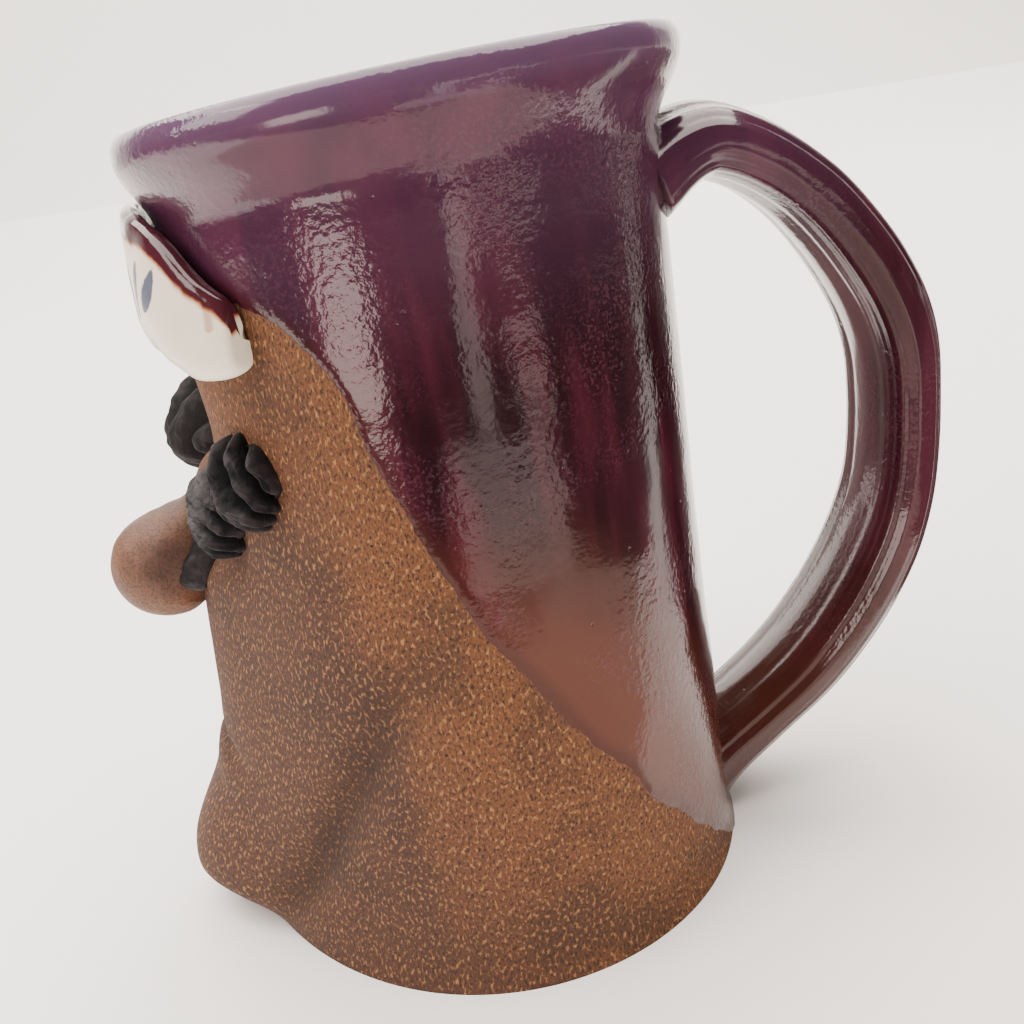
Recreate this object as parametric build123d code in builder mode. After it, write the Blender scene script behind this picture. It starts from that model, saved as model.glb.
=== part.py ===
"""Hand-thrown stoneware face mug: a leaning body with a pressed-out muzzle and chin, a pulled strap
handle, an upturned cap visor, an egg nose, two folded brows and two folded moustache tufts.

Frame: millimetres, +Z up, origin at the middle of the foot, face towards -X, handle towards +X.
Angles go round the body in degrees from the face's middle, positive towards -Y, the mug's left side.
"""

import os
from math import cos, exp, radians, sin, sqrt

from build123d import *

# Thrown body
height = 130.0
foot_radius = 39.2
neck_radius = 36.9
foot_spread = 1.6
foot_spread_fade = 3.0
foot_edge = 0.8
lean = 5.2
wall = 4.6
floor = 7.0
flare_start_drop = 13.0
flare_end_drop = 3.0
lip_flare = 4.0
lip_round = 2.4
lip_round_share = 0.7
lip_opening = 0.45
inside_corner = 9.0

# Muzzle and chin, pressed out of the wall from inside
muzzle_relief = 6.0
muzzle_top = 67.0
muzzle_fade = 4.5
muzzle_growth = 0.06
muzzle_spread_top = 21.0
muzzle_spread_foot = 35.0
chin_relief = 8.8
chin_height = 10.5
chin_reach = 15.0
chin_spread = 17.0
chin_undercut = 8.5
forehead_dip = 1.4
forehead_height = 87.0
forehead_reach = 9.0
forehead_spread = 30.0
pressed_share = 0.6
pressed_fade = 12.0

# Strap handle
handle_width_top = 25.0
handle_width_middle = 22.5
handle_width_foot = 19.0
handle_thickness = 10.0
handle_root_swell = 3.0
handle_groove = 0.9
handle_groove_width = 2.2
handle_groove_place = 0.24
handle_shoulder = 0.25
handle_root_fade = 0.05
handle_root_spread = 1.6
handle_top_drop = 5.5
handle_reach = 36.0
handle_widest_height = 68.0
handle_foot_height = 11.0
handle_bury = 3.0

# Cap visor
visor_half_width = 32.0
visor_bottom = 96.5
visor_end_height = 8.0
visor_top = 121.5
visor_thickness = 2.8
visor_stand_off_top = 5.0
visor_stand_off_low = 6.2
visor_bury = 1.5

# Nose
nose_radius = 8.8
nose_fat_length = 10.5
nose_tip_reach = 54.2
nose_tip_height = 57.6
nose_root_height = 84.0
nose_bury = 1.5

# Folded clay: brows and moustache
fold_bury = 2.0
fold_groove_share = 0.74
fold_end_share = 0.35
fold_fullness = 0.6
fold_shoulder = 0.68

# Heights that follow from the values above
flare_start = height - flare_start_drop
flare_end = height - flare_end_drop
handle_top_height = flare_start - handle_top_drop


def axis_x(z):
    """Where the leaning axis stands at a height."""
    return lean * z / height


def smooth_step(low, high, value):
    """0 below low, 1 above high and smooth between."""
    share = min(max((value - low) / (high - low), 0.0), 1.0)
    return share * share * (3 - 2 * share)


def wall_radius(z):
    """Outer radius of the thrown wall: taper, spread foot, flared lip and rounded edges."""
    radius = foot_radius + (neck_radius - foot_radius) * min(z / flare_start, 1.0)
    radius += foot_spread * exp(-z / foot_spread_fade)
    radius += lip_flare * smooth_step(flare_start, flare_end, z)
    if z > height - lip_round:
        rise = (z - height + lip_round) / lip_round
        radius -= lip_round * (1 - sqrt(max(1 - rise * rise, 0.0))) * lip_round_share
    return radius - foot_edge * max(1 - z / foot_edge, 0.0) ** 2


def face_relief(angle, z):
    """How far the muzzle, chin and forehead stand out of the thrown wall."""
    height_share = min(z / muzzle_top, 1.0)
    spread = muzzle_spread_foot + (muzzle_spread_top - muzzle_spread_foot) * height_share
    muzzle = muzzle_relief + muzzle_growth * max(muzzle_top - z, 0.0)
    muzzle *= 1 - smooth_step(muzzle_top - muzzle_fade, muzzle_top + muzzle_fade, z)
    muzzle *= exp(-((angle / spread) ** 2))
    chin = chin_relief * exp(-(((z - chin_height) / chin_reach) ** 2) - (angle / chin_spread) ** 2)
    undercut = smooth_step(-0.7 * chin_undercut, chin_undercut, z)
    dip = exp(-(((z - forehead_height) / forehead_reach) ** 2) - (angle / forehead_spread) ** 2)
    dip *= forehead_dip
    return (muzzle + chin) * undercut - dip


def body_radius(angle, z):
    """Outer radius of the body, face included."""
    return wall_radius(z) + face_relief(angle, z)


def inner_radius(angle, z):
    """Inner radius: the wall's thickness inside, following the pressed-out face, round at the floor."""
    pressed = pressed_share * face_relief(angle, z) * smooth_step(floor, floor + pressed_fade, z)
    radius = wall_radius(z) - wall + pressed
    if z > height - lip_round:
        radius += lip_opening * (z - height + lip_round)
    rise = min((z - floor) / inside_corner, 1.0)
    return radius - inside_corner * (1 - sqrt(max(1 - (1 - rise) ** 2, 0.0)))


def around(angle, radius, z):
    """Point on the leaning body at an angle from the face's middle."""
    return Vector(axis_x(z) - radius * cos(radians(angle)), -radius * sin(radians(angle)), z)


ring_angles = [180, 165, 140, 115, 95, 78, 64, 52, 42, 33, 25, 17, 8]
ring_angles = ring_angles + [0] + [-angle for angle in reversed(ring_angles[1:])]


def ring(radius_at, z):
    """Points of one closed ring of the body, from the handle side round the face and back."""
    return [around(angle, radius_at(angle, z), z) for angle in ring_angles]


# Ring heights: close together over the face, even above it up to the flare, close again in the flare
muzzle_heights = [muzzle_top - 5, muzzle_top - 1.5, muzzle_top + 2]
face_end = muzzle_top + 6
upper_rings = 7
upper_heights = [face_end + (flare_start - face_end) * step / upper_rings for step in range(upper_rings)]
flare_heights = [flare_start + (flare_end - flare_start) * share for share in (0, 0.25, 0.5, 0.75, 1)]

# Thrown body: outside surface as one loft, kept to trim the pieces that are luted on
outer_heights = [0, 1.2, 3.5, 7, 11, 15, 19, 23.5, 28, 33, 38, 43, 48, 53, 58] + muzzle_heights
outer_heights += upper_heights + flare_heights + [height - 1.6, height - 0.6, height]
with BuildPart() as outside:
    for z in outer_heights:
        with BuildSketch(Plane.XY.offset(z)):
            with BuildLine():
                Spline(*[(p.X, p.Y) for p in ring(body_radius, z)], periodic=True)
            make_face()
    loft()

inner_heights = [floor, floor + 0.8, floor + 2.3, floor + 4.5, floor + 7, floor + 10, floor + 14, 26, 31]
inner_heights += [36, 42, 48, 53, 58] + muzzle_heights + upper_heights + flare_heights
inner_heights += [height - 1.2, height]
with BuildPart() as drink_space:
    for z in inner_heights:
        with BuildSketch(Plane.XY.offset(z)):
            with BuildLine():
                Spline(*[(p.X, p.Y) for p in ring(inner_radius, z)], periodic=True)
            make_face()
    loft()

with BuildPart() as mug_body:
    add(outside.part)
    add(drink_space.part, mode=Mode.SUBTRACT)
mug_body.part.label = "mug_body"

# Strap handle: rounded, grooved sections carried along an ear-shaped path
top_wall_x = axis_x(handle_top_height) + neck_radius
foot_wall_x = axis_x(handle_foot_height) + foot_radius
crown_x = top_wall_x + handle_reach
with BuildLine() as ear:
    Spline(
        (top_wall_x - handle_bury, 0, handle_top_height - 1.5),
        (top_wall_x + 0.22 * handle_reach, 0, handle_top_height + 1.4),
        (top_wall_x + 0.62 * handle_reach, 0, handle_top_height - 8.5),
        (top_wall_x + 0.93 * handle_reach, 0, handle_top_height - 26.5),
        (crown_x, 0, handle_widest_height),
        (foot_wall_x + 0.90 * (crown_x - foot_wall_x), 0, handle_foot_height + 35),
        (foot_wall_x + 0.52 * (crown_x - foot_wall_x), 0, handle_foot_height + 13.5),
        (foot_wall_x - handle_bury, 0, handle_foot_height - 3.5),
    )
ear_path = ear.wires()[0]


def strap_outline(width, thickness):
    """Points round a strap section: rounded sides, a crowned outside with two shallow grooves."""
    points = []
    corners = 20
    for step in range(corners):
        turn = radians(step * 360 / corners)
        across = width / 2 * cos(turn)
        through = thickness / 2 * sin(turn) * (1 + handle_shoulder * cos(turn) ** 2)
        if sin(turn) > 0:
            off_groove = abs(across) - handle_groove_place * width
            through -= handle_groove * exp(-((off_groove / handle_groove_width) ** 2))
        points.append((across, through))
    return points


handle_stations = [0, 0.05, 0.12, 0.22, 0.34, 0.46, 0.58, 0.70, 0.82, 0.92, 1]
with BuildPart() as handle:
    for share in handle_stations:
        if share < 0.5:
            width = handle_width_top + (handle_width_middle - handle_width_top) * share / 0.5
        else:
            width = handle_width_middle + (handle_width_foot - handle_width_middle) * (share - 0.5) / 0.5
        foot_swell = 0.5 * exp(-(1 - share) / handle_root_fade)
        swell = handle_root_swell * (exp(-share / handle_root_fade) + foot_swell)
        tangent = ear_path % share
        section = Plane(ear_path @ share, x_dir=(0, 1, 0), z_dir=tangent)
        outline = strap_outline(width + handle_root_spread * swell, handle_thickness + swell)
        with BuildSketch(section):
            with BuildLine():
                Spline(*outline, periodic=True)
            make_face()
    loft()
    add(outside.part, mode=Mode.SUBTRACT)
    add(drink_space.part, mode=Mode.SUBTRACT)
handle.part.label = "handle"

# Cap visor: an upturned half-moon standing off the forehead, turned round the axis and trimmed
visor_middle = (visor_bottom + visor_top) / 2
visor_axis_x = axis_x(visor_middle)
visor_wall = wall_radius(visor_middle)
visor_root = visor_wall - visor_bury
visor_low = visor_wall + visor_stand_off_low
visor_high = visor_wall + visor_stand_off_top
visor_heel = visor_bottom + visor_end_height
with BuildPart() as cap_visor:
    with BuildSketch(Plane((visor_axis_x, 0, 0), x_dir=(0, 1, 0), z_dir=(1, 0, 0))):
        with BuildLine():
            Polyline(
                (visor_root, visor_bottom - 1),
                (visor_wall + 2, visor_bottom - 1),
                (visor_low - 0.8, visor_bottom + 0.45 * visor_end_height),
                (visor_low, visor_heel),
                (visor_high, visor_top + 1),
                (visor_high - visor_thickness, visor_top + 1),
                (visor_low - visor_thickness, visor_heel + 1.5),
                (visor_root, visor_bottom + 0.6 * visor_end_height),
                close=True,
            )
        make_face()
    revolve(axis=Axis((visor_axis_x, 0, 0), (0, 0, 1)), revolution_arc=180)
    with BuildSketch(Plane((visor_axis_x, 0, 0), x_dir=(0, 1, 0), z_dir=(1, 0, 0))):
        with BuildLine():
            EllipticalCenterArc((0, visor_heel), visor_half_width, visor_top - visor_heel, 0, arc_size=180)
            EllipticalCenterArc((0, visor_heel), visor_half_width, visor_end_height, 180, arc_size=180)
        make_face()
    extrude(amount=-2 * visor_low, mode=Mode.INTERSECT)
    add(outside.part, mode=Mode.SUBTRACT)
cap_visor.part.label = "cap_visor"

# Nose: a drop, its fat end down and out on the muzzle, its narrow root buried in the forehead
nose_tip = Vector(-nose_tip_reach, 0, nose_tip_height)
nose_root = around(0, body_radius(0, nose_root_height) - nose_bury, nose_root_height)
nose_axis = (nose_root - nose_tip).normalized()
nose_middle = nose_tip + nose_axis * nose_fat_length
nose_thin_length = (nose_root - nose_middle).length
with BuildPart() as nose:
    with BuildSketch(Plane(nose_middle, x_dir=nose_axis, z_dir=(0, -1, 0))):
        with BuildLine():
            EllipticalCenterArc((0, 0), nose_fat_length, nose_radius, 90, arc_size=90)
            Spline(
                (0, nose_radius),
                (0.42 * nose_thin_length, 0.74 * nose_radius),
                (0.75 * nose_thin_length, 0.42 * nose_radius),
                (nose_thin_length, 0),
                tangents=((1, 0), (0.3, -1)),
            )
            Line((-nose_fat_length, 0), (nose_thin_length, 0))
        make_face()
    revolve(axis=Axis(nose_middle, nose_axis), revolution_arc=360)
    add(outside.part, mode=Mode.SUBTRACT)
nose.part.label = "nose"

# Each folded piece: angle, height, folds, width across the folds, fold length, stand-out and tilt
folded_pieces = {
    "left_brow": (38, 82.5, 4, 18.0, 14.5, 6.0, -38),
    "right_brow": (-16, 85.5, 4, 17.0, 17.0, 9.5, 10),
    "left_moustache": (21, 72, 4, 16.0, 18.0, 5.5, -34),
    "right_moustache": (-21, 72, 4, 16.0, 18.0, 5.5, 34),
}
finished_folds = {}
for name, (angle, z, folds, width, length, proud, tilt) in folded_pieces.items():
    ground = body_radius(angle, z)
    out = Vector(-cos(radians(angle)), -sin(radians(angle)), 0)
    side = Vector(0, 0, 1).cross(out)
    along = Vector(0, 0, 1) * cos(radians(tilt)) + side * sin(radians(tilt))
    across = out.cross(along)
    with BuildPart() as folded:
        for step in range(2 * folds + 1):
            share = step / (2 * folds)
            shift = (share - 0.5) * width
            swell = fold_end_share + (1 - fold_end_share) * sin(radians(180 * share)) ** fold_fullness
            ridge = 1.0 if step % 2 else fold_groove_share
            drop = ground - sqrt(ground**2 - (shift * across.dot(side)) ** 2)
            middle = around(angle, ground - drop, z) + across * shift
            half = length / 2 * swell
            tall = proud * swell * ridge
            with BuildSketch(Plane(middle, x_dir=along, z_dir=along.cross(out))):
                with BuildLine():
                    Spline(
                        (-half, 0),
                        (-0.75 * half, fold_shoulder * tall),
                        (0, tall),
                        (0.75 * half, fold_shoulder * tall),
                        (half, 0),
                        (0.6 * half, -fold_bury),
                        (-0.6 * half, -fold_bury),
                        periodic=True,
                    )
                make_face()
        loft(ruled=True)
        add(outside.part, mode=Mode.SUBTRACT)
        add(nose.part, mode=Mode.SUBTRACT)
        for neighbour in finished_folds.values():
            add(neighbour, mode=Mode.SUBTRACT)
    folded.part.label = name
    finished_folds[name] = folded.part

os.makedirs("parts", exist_ok=True)
export_step(mug_body.part, "parts/mug_body.step")
export_step(handle.part, "parts/handle.step")
export_step(cap_visor.part, "parts/cap_visor.step")
export_step(nose.part, "parts/nose.step")
for name, folded_part in finished_folds.items():
    export_step(folded_part, f"parts/{name}.step")
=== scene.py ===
"""Looks of a hand-thrown stoneware face mug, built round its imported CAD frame.

Shapes are worked out in millimetres and written to the meshes in metres. +Z is up, the face looks
to -X and the handle is at +X. Angles go round the body in degrees from the face's middle, positive
towards the mug's left side, which is -Y.
"""

import logging
from dataclasses import dataclass, field
from enum import Enum

import bpy
import numpy as np
from mathutils import Matrix, Vector

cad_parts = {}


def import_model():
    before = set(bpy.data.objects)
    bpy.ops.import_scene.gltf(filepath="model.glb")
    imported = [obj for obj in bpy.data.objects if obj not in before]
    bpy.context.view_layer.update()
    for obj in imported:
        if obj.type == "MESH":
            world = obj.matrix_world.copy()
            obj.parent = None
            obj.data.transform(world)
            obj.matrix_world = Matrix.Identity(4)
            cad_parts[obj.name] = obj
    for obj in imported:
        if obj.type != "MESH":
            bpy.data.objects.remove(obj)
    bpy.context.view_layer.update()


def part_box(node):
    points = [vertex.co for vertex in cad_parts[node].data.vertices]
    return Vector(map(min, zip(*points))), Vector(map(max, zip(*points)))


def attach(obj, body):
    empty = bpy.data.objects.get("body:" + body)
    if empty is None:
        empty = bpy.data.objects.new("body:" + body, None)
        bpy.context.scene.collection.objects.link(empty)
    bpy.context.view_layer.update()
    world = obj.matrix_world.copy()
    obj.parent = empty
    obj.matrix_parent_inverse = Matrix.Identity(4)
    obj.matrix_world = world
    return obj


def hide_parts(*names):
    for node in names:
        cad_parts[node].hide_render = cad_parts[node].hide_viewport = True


MM = 0.001
TURN = 2 * np.pi
Array = np.ndarray
Socket = bpy.types.NodeSocket
Colour = tuple[float, float, float, float]
Point = tuple[float, float, float]
log = logging.getLogger("face_mug")


class Slot(Enum):
    """The record's material slots."""

    BODY = "mug_body"
    HANDLE = "handle"
    VISOR = "cap_visor"
    NOSE = "nose"
    FOLDS = "dark_folds"


def linear(hex_colour: str) -> Colour:
    """Turn an sRGB hex colour into linear RGBA.

    Args:
        hex_colour: A # and six hex digits.

    Returns:
        Red, green, blue and an alpha of 1.
    """
    channels = np.array([int(hex_colour[i : i + 2], 16) for i in (1, 3, 5)]) / 255
    low = channels / 12.92
    high = ((channels + 0.055) / 1.055) ** 2.4
    return (*(float(value) for value in np.where(channels <= 0.04045, low, high)), 1.0)


def add_node(
    tree: bpy.types.NodeTree, kind: str, inputs: dict | None = None, out: int = 0, **settings: object
) -> Socket | None:
    """Add a node, set it up and join its inputs.

    Args:
        tree: The node tree it goes into.
        kind: The node's type name.
        inputs: Socket name or index, to a value or to another node's output socket.
        out: Which output to return.
        settings: The node's own properties.

    Returns:
        The chosen output socket, or None for a node that has no outputs.
    """
    node = tree.nodes.new(kind)
    for name, value in settings.items():
        setattr(node, name, value)
    for name, value in (inputs or {}).items():
        if isinstance(value, Socket):
            tree.links.new(value, node.inputs[name])
        else:
            node.inputs[name].default_value = value
    return node.outputs[out] if len(node.outputs) else None


def smooth_step(low: float, high: float, value: Array) -> Array:
    """0 below low, 1 above high, and 3 s^2 - 2 s^3 of the share s between."""
    share = np.clip((value - low) / (high - low), 0, 1)
    return share * share * (3 - 2 * share)


def hump(value: Array, width: float) -> Array:
    """A bell: e to the minus (value over width) squared."""
    return np.exp(-((value / width) ** 2))


def ripple(points: Array, wavelength: float, seed: int, waves: int = 10) -> Array:
    """Seeded smooth unevenness of about -1 to 1.

    Each wave is the sine of the point's distance along a random direction, over a wavelength
    drawn from 0.7 to 1.5 of the one given; the result is their sum times the root of 2 / waves.

    Args:
        points: Points with their coordinates on the last axis, in mm.
        wavelength: The middle wavelength in mm.
        seed: Seed of the random directions, lengths and phases.
        waves: How many waves are added.

    Returns:
        One value for each point.
    """
    random = np.random.default_rng(seed)
    directions = random.normal(size=(waves, points.shape[-1]))
    directions /= np.linalg.norm(directions, axis=1, keepdims=True)
    lengths = wavelength * random.uniform(0.7, 1.5, waves)
    phases = random.uniform(0, TURN, waves)
    angles = points @ (directions / lengths[:, None]).T * TURN + phases
    return np.sin(angles).sum(axis=-1) * np.sqrt(2 / waves)


def smooth_curve(knots: Array, samples: int, closed: bool = False) -> Array:
    """Catmull-Rom curve through knots: in each span a cubic whose end slopes are half the
    difference of the knots on either side.

    Args:
        knots: Points on the first axis; further axes are carried along.
        samples: Number of points returned.
        closed: Whether the curve joins up; its end point isn't repeated.

    Returns:
        The sampled curve, samples on the first axis.
    """
    count = len(knots)
    spans = count if closed else count - 1
    place = np.linspace(0, spans, samples, endpoint=not closed)
    span = np.minimum(place.astype(int), spans - 1)
    share = (place - span).reshape(-1, *([1] * (knots.ndim - 1)))
    picks = [span + step for step in (-1, 0, 1, 2)]
    picks = [pick % count if closed else np.clip(pick, 0, count - 1) for pick in picks]
    before, start, end, after = (knots[pick] for pick in picks)
    linear_part = (end - before) * share
    square_part = (2 * before - 5 * start + 4 * end - after) * share**2
    cube_part = (3 * start - before - 3 * end + after) * share**3
    return 0.5 * (2 * start + linear_part + square_part + cube_part)


def run_length(path: Array) -> Array:
    """Distance along a path of points, from 0 at its start."""
    return np.concatenate([[0], np.cumsum(np.linalg.norm(np.diff(path, axis=0), axis=1))])


@dataclass
class Skin:
    """A closed surface as rings of points, with a pole past the first ring and past the last.

    rings has the ring, the place round it and the coordinate on its axes. marks are values at the
    points that materials read. width and lengths lay out the UV map in mm: width round a ring,
    lengths along the rings.
    """

    name: str
    rings: Array
    lengths: Array
    width: float
    marks: dict[str, Array] = field(default_factory=dict)

    def to_object(self) -> bpy.types.Object:
        """Make the mesh: quads between rings and a fan of triangles to each pole, facing outwards.

        Returns:
            The linked object, at the origin.
        """
        rows, cols = self.rings.shape[:2]
        poles = np.stack([self.rings[0].mean(axis=0), self.rings[-1].mean(axis=0)])
        points = np.concatenate([self.rings.reshape(-1, 3), poles]) * MM
        index = np.arange(rows * cols).reshape(rows, cols)
        beside = np.roll(index, -1, axis=1)
        quads = np.stack([index[:-1], beside[:-1], beside[1:], index[1:]], axis=-1).reshape(-1, 4)
        first = np.stack([np.full(cols, rows * cols), beside[0], index[0]], axis=-1)
        last = np.stack([np.full(cols, rows * cols + 1), index[-1], beside[-1]], axis=-1)
        fans = np.concatenate([first, last])
        corners = np.concatenate([quads.ravel(), fans.ravel()])
        starts = np.concatenate([np.arange(len(quads)) * 4, len(quads) * 4 + np.arange(len(fans)) * 3])
        uvs = self._uvs(rows, cols)
        triangles = np.concatenate([quads[:, :3], quads[:, [0, 2, 3]], fans])
        a, b, c = (points[triangles[:, corner]] for corner in range(3))
        if np.einsum("ij,ij->i", a, np.cross(b, c)).sum() < 0:
            quad_order = np.arange(len(quads) * 4).reshape(-1, 4)[:, ::-1]
            fan_order = len(quads) * 4 + np.arange(len(fans) * 3).reshape(-1, 3)[:, ::-1]
            order = np.concatenate([quad_order.ravel(), fan_order.ravel()])
            corners, uvs = corners[order], uvs[order]
        mesh = bpy.data.meshes.new(self.name)
        mesh.vertices.add(len(points))
        mesh.vertices.foreach_set("co", points.ravel())
        mesh.loops.add(len(corners))
        mesh.loops.foreach_set("vertex_index", corners.astype(np.int32))
        mesh.polygons.add(len(starts))
        mesh.polygons.foreach_set("loop_start", starts.astype(np.int32))
        mesh.update(calc_edges=True)
        mesh.polygons.foreach_set("use_smooth", np.ones(len(starts), dtype=bool))
        mesh.uv_layers.new(name="skin").data.foreach_set("uv", uvs.astype(np.float32).ravel())
        for name, values in self.marks.items():
            flat = np.concatenate([values.ravel(), [values[0].mean(), values[-1].mean()]])
            mark = mesh.attributes.new(name, "FLOAT", "POINT")
            mark.data.foreach_set("value", flat.astype(np.float32))
        mesh.validate()
        piece = bpy.data.objects.new(self.name, mesh)
        bpy.context.scene.collection.objects.link(piece)
        return piece

    def _uvs(self, rows: int, cols: int) -> Array:
        """Lay out the UV map, unbroken round the ring's join.

        Args:
            rows: How many rings there are.
            cols: How many points a ring has.

        Returns:
            UV of each corner in metres, in the order of the faces.
        """
        across = np.arange(cols + 1) / cols * self.width * MM
        left, high = np.meshgrid(across[:-1], self.lengths * MM)
        right = np.broadcast_to(across[1:], left.shape)
        quad_u = np.stack([left[:-1], right[:-1], right[1:], left[1:]], axis=-1)
        quad_v = np.stack([high[:-1], high[:-1], high[1:], high[1:]], axis=-1)
        fan_u = np.stack([left[0], right[0], left[0]], axis=-1)
        fan_v, end_v = (np.stack([row] * 3, axis=-1) for row in (high[0], high[-1]))
        u = np.concatenate([quad_u.ravel(), fan_u.ravel(), fan_u.ravel()])
        v = np.concatenate([quad_v.ravel(), fan_v.ravel(), end_v.ravel()])
        return np.stack([u, v], axis=-1)


@dataclass(frozen=True)
class BodyForm:
    """Sizes in mm of the thrown body, and the formulas of its surface."""

    height: float
    foot_radius: float
    lean: float = 5.2
    neck_narrowing: float = 2.3
    foot_spread: float = 1.6
    foot_spread_fade: float = 3.0
    wall: float = 4.6
    floor: float = 7.0
    flare_start_drop: float = 13.0
    flare_end_drop: float = 3.0
    lip_flare: float = 4.0
    lip_round: float = 2.4
    lip_round_share: float = 0.7
    lip_opening: float = 0.45
    inside_corner: float = 9.0
    muzzle_relief: float = 6.0
    muzzle_top: float = 67.0
    muzzle_fade: float = 4.5
    muzzle_growth: float = 0.06
    muzzle_spread_foot: float = 35.0
    muzzle_spread_top: float = 21.0
    chin_relief: float = 8.8
    chin_height: float = 10.5
    chin_reach: float = 15.0
    chin_spread: float = 17.0
    chin_undercut: float = 8.5
    forehead_dip: float = 1.4
    forehead_height: float = 87.0
    forehead_reach: float = 9.0
    forehead_spread: float = 30.0
    mouth_height: float = 33.0
    mouth_depth: float = 1.1
    jowl_depth: float = 2.3
    jowl_start_angle: float = 20.5
    pressed_share: float = 0.6
    pressed_fade: float = 12.0

    @classmethod
    def from_frame(cls) -> "BodyForm":
        """Take the height and the foot's radius from the CAD body.

        Returns:
            The form with the frame's sizes.
        """
        low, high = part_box("mug_body")
        rim_radius = (high[1] - low[1]) / 2 / MM
        return cls(height=high[2] / MM, foot_radius=rim_radius - cls.lip_flare + cls.neck_narrowing)

    @property
    def flare_start(self) -> float:
        """Height at which the lip begins to flare."""
        return self.height - self.flare_start_drop

    @property
    def flare_end(self) -> float:
        """Height at which the flare is full."""
        return self.height - self.flare_end_drop

    def axis_x(self, z: Array) -> Array:
        """Where the leaning axis stands: the lean times the share of the height."""
        return self.lean * z / self.height

    def wall_radius(self, z: Array) -> Array:
        """Outer radius: a straight taper, a foot that spreads as e to the minus height, a lip
        flared by a smooth step and its edge rounded as a quarter ellipse.

        Args:
            z: Heights in mm.

        Returns:
            A radius for each height.
        """
        radius = self.foot_radius - self.neck_narrowing * np.minimum(z / self.flare_start, 1)
        radius = radius + self.foot_spread * np.exp(-z / self.foot_spread_fade)
        radius = radius + self.lip_flare * smooth_step(self.flare_start, self.flare_end, z)
        rise = np.clip((z - self.height + self.lip_round) / self.lip_round, 0, 1)
        return radius - self.lip_round * (1 - np.sqrt(1 - rise**2)) * self.lip_round_share

    def face_relief(self, angle: Array, z: Array) -> Array:
        """How far the muzzle and chin stand out, and the forehead and creases fall in.

        The muzzle is a bell round the face, wider and fuller downwards, which ends in a smooth step
        at its top. The chin is a bell in angle and height over an undercut. The mouth is a narrow
        bell across a bent line, with a faint lip below it.

        Args:
            angle: Angles round the body in degrees.
            z: Heights in mm.

        Returns:
            The relief in mm for each pair.
        """
        share = np.clip(z / self.muzzle_top, 0, 1)
        muzzle = self.muzzle_relief + self.muzzle_growth * np.maximum(self.muzzle_top - z, 0)
        muzzle = muzzle * smooth_step(self.muzzle_fade, -self.muzzle_fade, z - self.muzzle_top)
        spread = self.muzzle_spread_foot + (self.muzzle_spread_top - self.muzzle_spread_foot) * share
        muzzle = muzzle * hump(angle, spread)
        chin = self.chin_relief * hump(z - self.chin_height, self.chin_reach) * hump(angle, self.chin_spread)
        undercut = smooth_step(-0.7 * self.chin_undercut, self.chin_undercut, z)
        dip = hump(z - self.forehead_height, self.forehead_reach) * hump(angle, self.forehead_spread)
        below = self.mouth_height + 2.5 * hump(angle, 9.0) - 0.06 * np.abs(angle) - z
        mouth = self.mouth_depth * hump(below, 1.5) - 0.5 * hump(below - 4.0, 2.6)
        mouth = mouth * smooth_step(24, 9, np.abs(angle))
        relief = (muzzle + chin) * undercut - self.forehead_dip * dip
        return relief - self.jowl_depth * self.jowl_line(angle, z) - mouth

    def jowl_line(self, angle: Array, z: Array) -> Array:
        """How near the jowl line is: a bell across a line that climbs back from beside the chin.

        Args:
            angle: Angles round the body in degrees.
            z: Heights in mm.

        Returns:
            0 to 1, fading towards both ends of the line.
        """
        line = hump(np.abs(angle) - self.jowl_start_angle - z, 5.5 + 0.05 * z)
        return line * smooth_step(1, 12, z) * smooth_step(66, 34, z)

    def outer_radius(self, angle: Array, z: Array) -> Array:
        """Outer radius with the face."""
        return self.wall_radius(z) + self.face_relief(angle, z)

    def inner_radius(self, angle: Array, z: Array) -> Array:
        """Inner radius: the wall's thickness inside, partly following the pressed-out face, opening
        at the lip and closing to the floor as a quarter ellipse.

        Args:
            angle: Angles round the body in degrees.
            z: Heights in mm.

        Returns:
            A radius for each pair.
        """
        pressed = self.pressed_share * smooth_step(self.floor, self.floor + self.pressed_fade, z)
        shoulder = self.height - self.lip_round
        radius = self.wall_radius(np.minimum(z, shoulder)) - self.wall + pressed * self.face_relief(angle, z)
        radius = radius + self.lip_opening * np.maximum(z - shoulder, 0)
        rise = np.clip((z - self.floor) / self.inside_corner, 0, 1)
        return radius - self.inside_corner * (1 - np.sqrt(1 - (1 - rise) ** 2))

    def around(self, angle: Array, radius: Array, z: Array) -> Array:
        """Points at an angle and radius from the leaning axis."""
        turn = np.radians(angle)
        x = self.axis_x(z) - radius * np.cos(turn)
        return np.stack(np.broadcast_arrays(x, -radius * np.sin(turn), z), axis=-1)

    def glaze_line(self, angle: Array) -> Array:
        """The glaze's lower edge: a hand-dipped slant from the visor to the back of the foot.

        Args:
            angle: Angles round the body in degrees.

        Returns:
            Its height in mm at each angle.
        """
        knots = np.array([[0, 110], [34, 109], [52, 105.5], [66, 98], [77, 79], [90, 58.5],
                          [104, 43], [122, 25.5], [142, 9.5], [156, 1.5], [180, -6]])
        curve = smooth_curve(knots, 240)
        return np.interp(np.abs(angle), curve[:, 0], curve[:, 1])


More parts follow.
